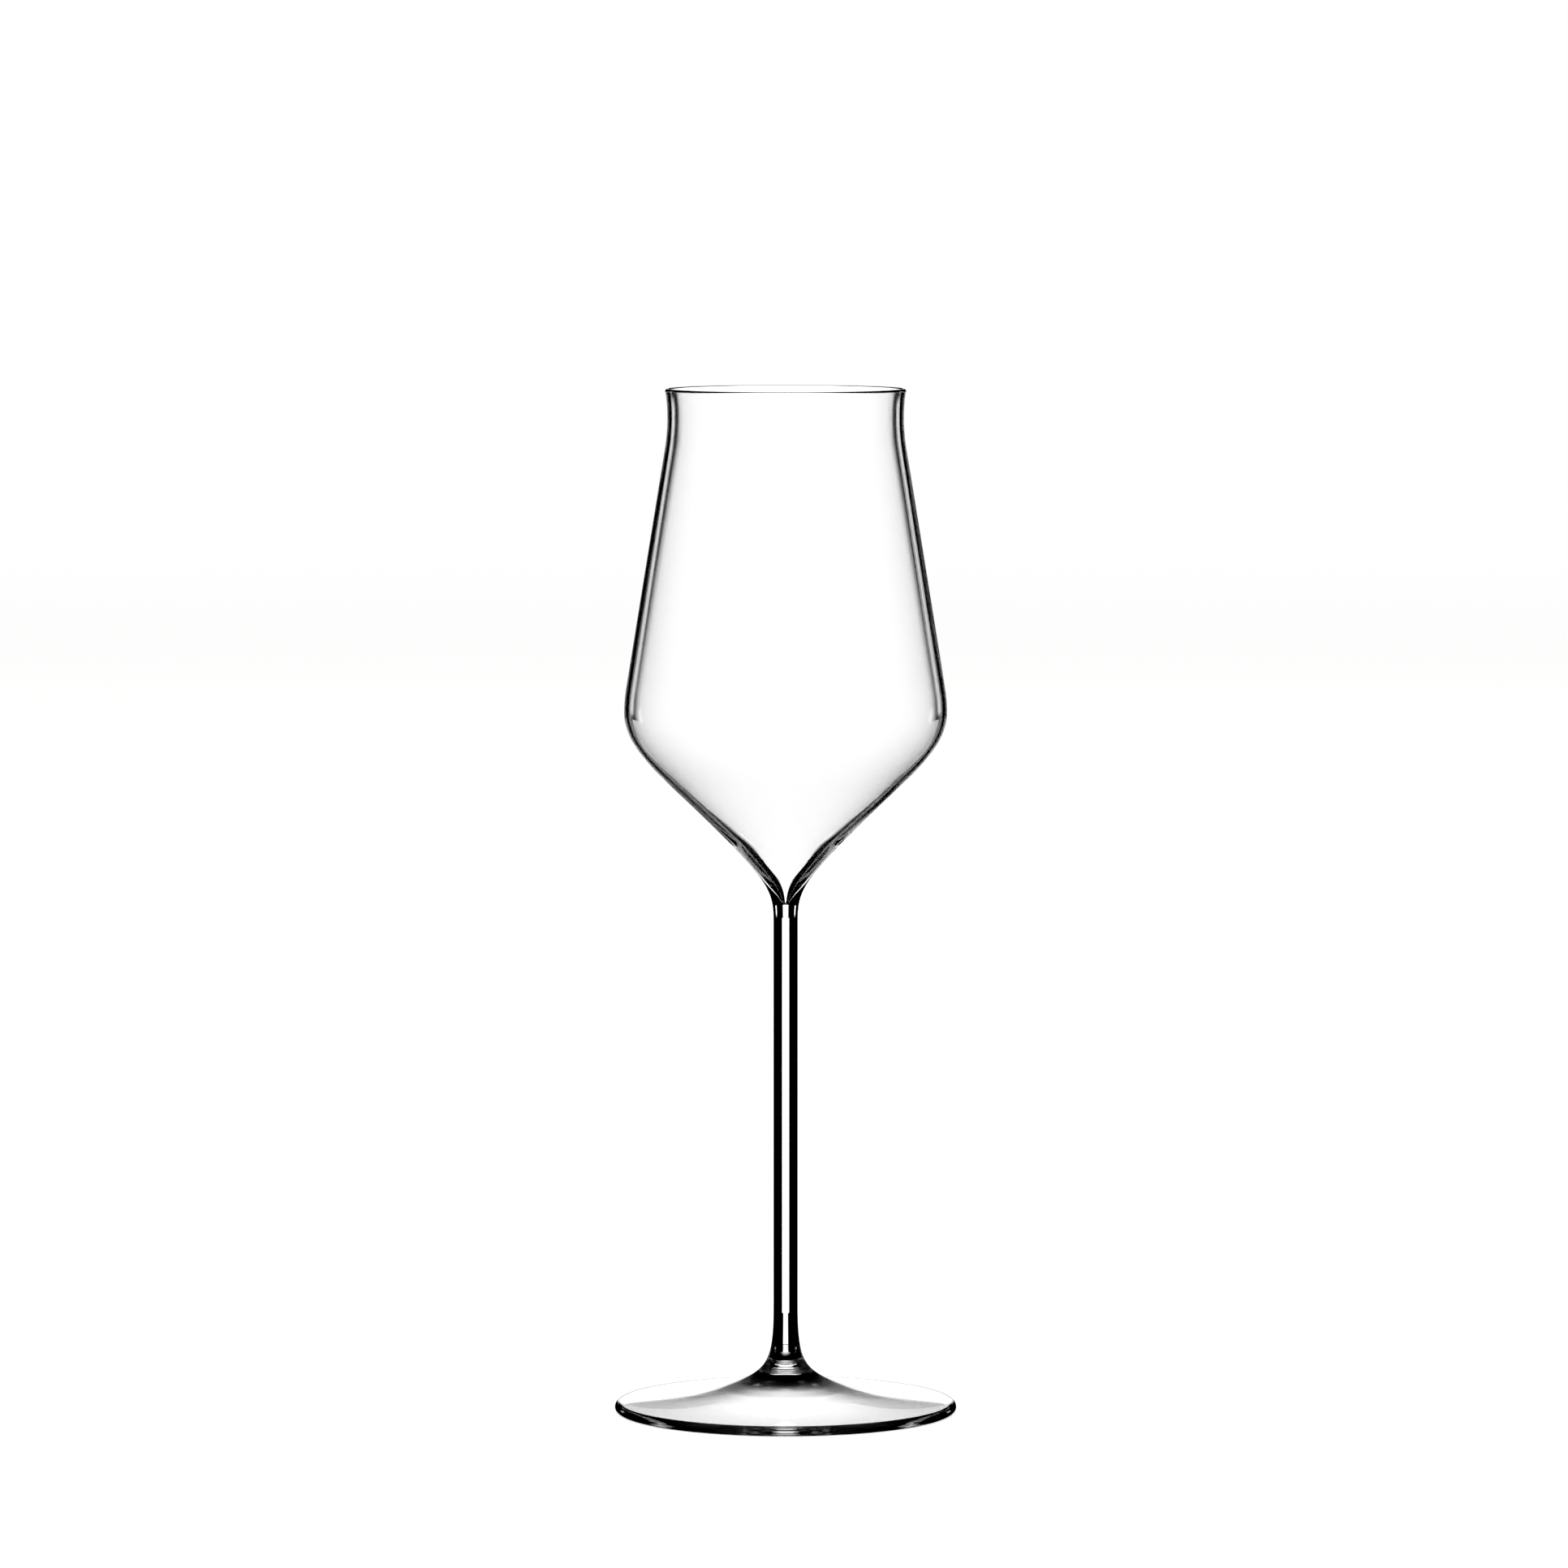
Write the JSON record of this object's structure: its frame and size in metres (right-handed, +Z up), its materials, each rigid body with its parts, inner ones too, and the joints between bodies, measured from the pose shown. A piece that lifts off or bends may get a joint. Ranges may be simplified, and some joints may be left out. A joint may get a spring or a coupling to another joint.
{
  "type": "sherry glass",
  "caption": "Clear stemmed sherry glass: tulip bowl with a low belly, drawn-in neck and turned-out rim, slim solid stem, thin round foot.",
  "frame": {"origin": "middle of the resting ring under the foot, on the table plane", "axes": "+Z up the glass's axis towards the rim; X and Y are alike, as the glass is round"},
  "size_m": [0.0702, 0.0702, 0.21],
  "materials": {
    "clear_glass": "fire-polished, clear and colourless"
  },
  "bodies": {
    "root": {"bowl": "clear_glass", "stem": "clear_glass", "foot": "clear_glass"}
  },
  "joints": []
}
